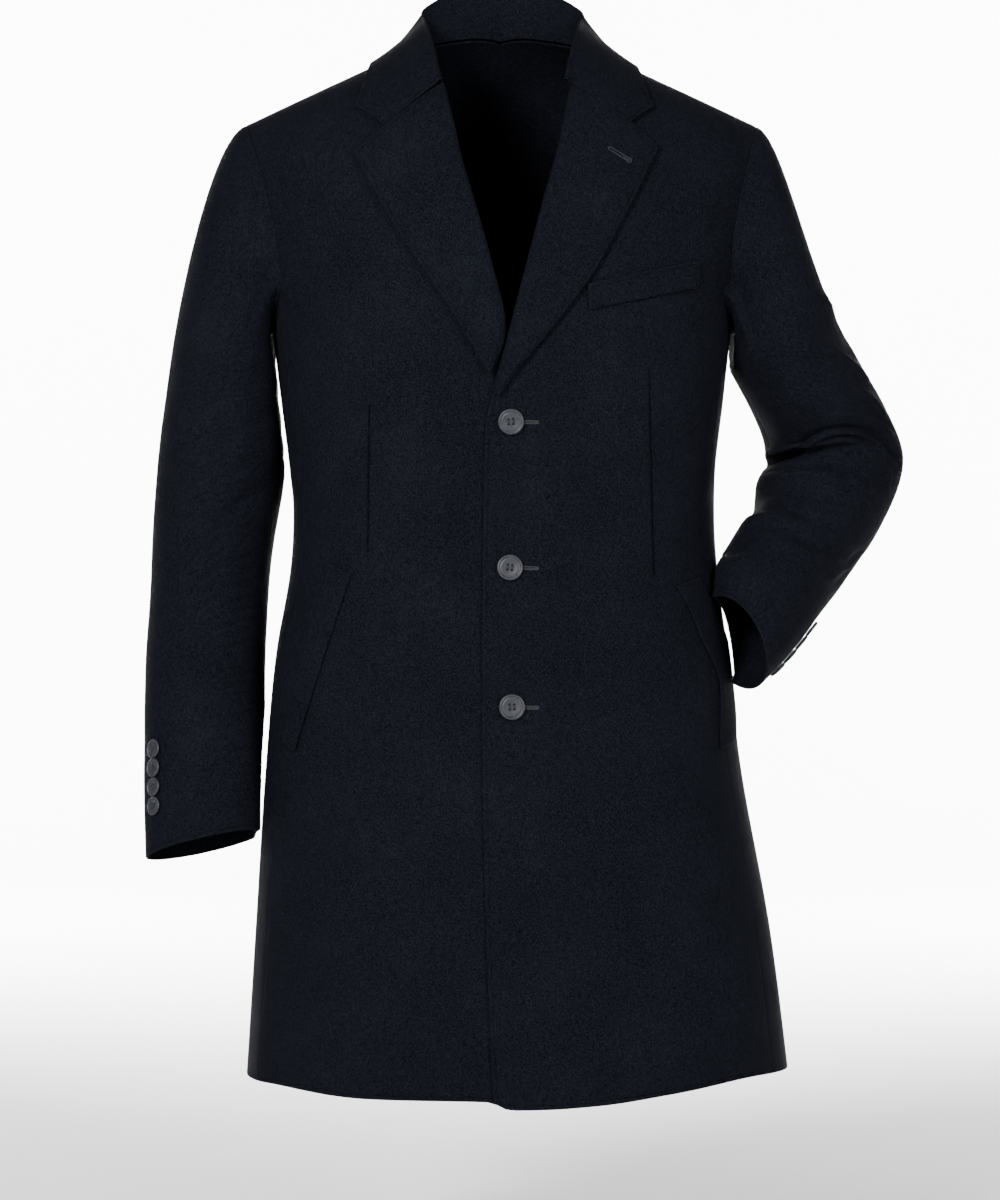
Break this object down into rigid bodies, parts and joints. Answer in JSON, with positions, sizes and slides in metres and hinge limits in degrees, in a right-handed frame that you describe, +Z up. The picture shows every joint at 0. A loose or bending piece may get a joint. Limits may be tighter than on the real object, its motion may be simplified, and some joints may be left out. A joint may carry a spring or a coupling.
{
  "type": "wool overcoat",
  "caption": "Single-breasted wool overcoat with notch lapels, slanted welt pockets and buttoned cuffs, in its worn form.",
  "frame": {"origin": "in the neck opening, on the centre line, level with the back neck just above its seam", "axes": "+Z up, -Y towards the coat's front, +X towards the wearer's left"},
  "size_m": [0.7008, 0.3063, 1.0183],
  "materials": {
    "wool": "matte brushed melton wool, very dark navy",
    "button": "satin dark blue-grey"
  },
  "bodies": {
    "root": {"back_left": "wool", "back_right": "wool", "button_cuff_left_1": "button", "button_cuff_left_2": "button", "button_cuff_left_3": "button", "button_cuff_left_4": "button", "button_cuff_right_1": "button", "button_cuff_right_2": "button", "button_cuff_right_3": "button", "button_cuff_right_4": "button", "button_front_1": "button", "button_front_2": "button", "button_front_3": "button", "collar": "wool", "front_left": "wool", "front_right": "wool", "lapel_left": "wool", "lapel_right": "wool", "side_left": "wool", "side_right": "wool", "sleeve_top_left": "wool", "sleeve_top_right": "wool", "sleeve_under_left": "wool", "sleeve_under_right": "wool", "welt_chest": "wool", "welt_left": "wool", "welt_right": "wool"}
  },
  "joints": []
}
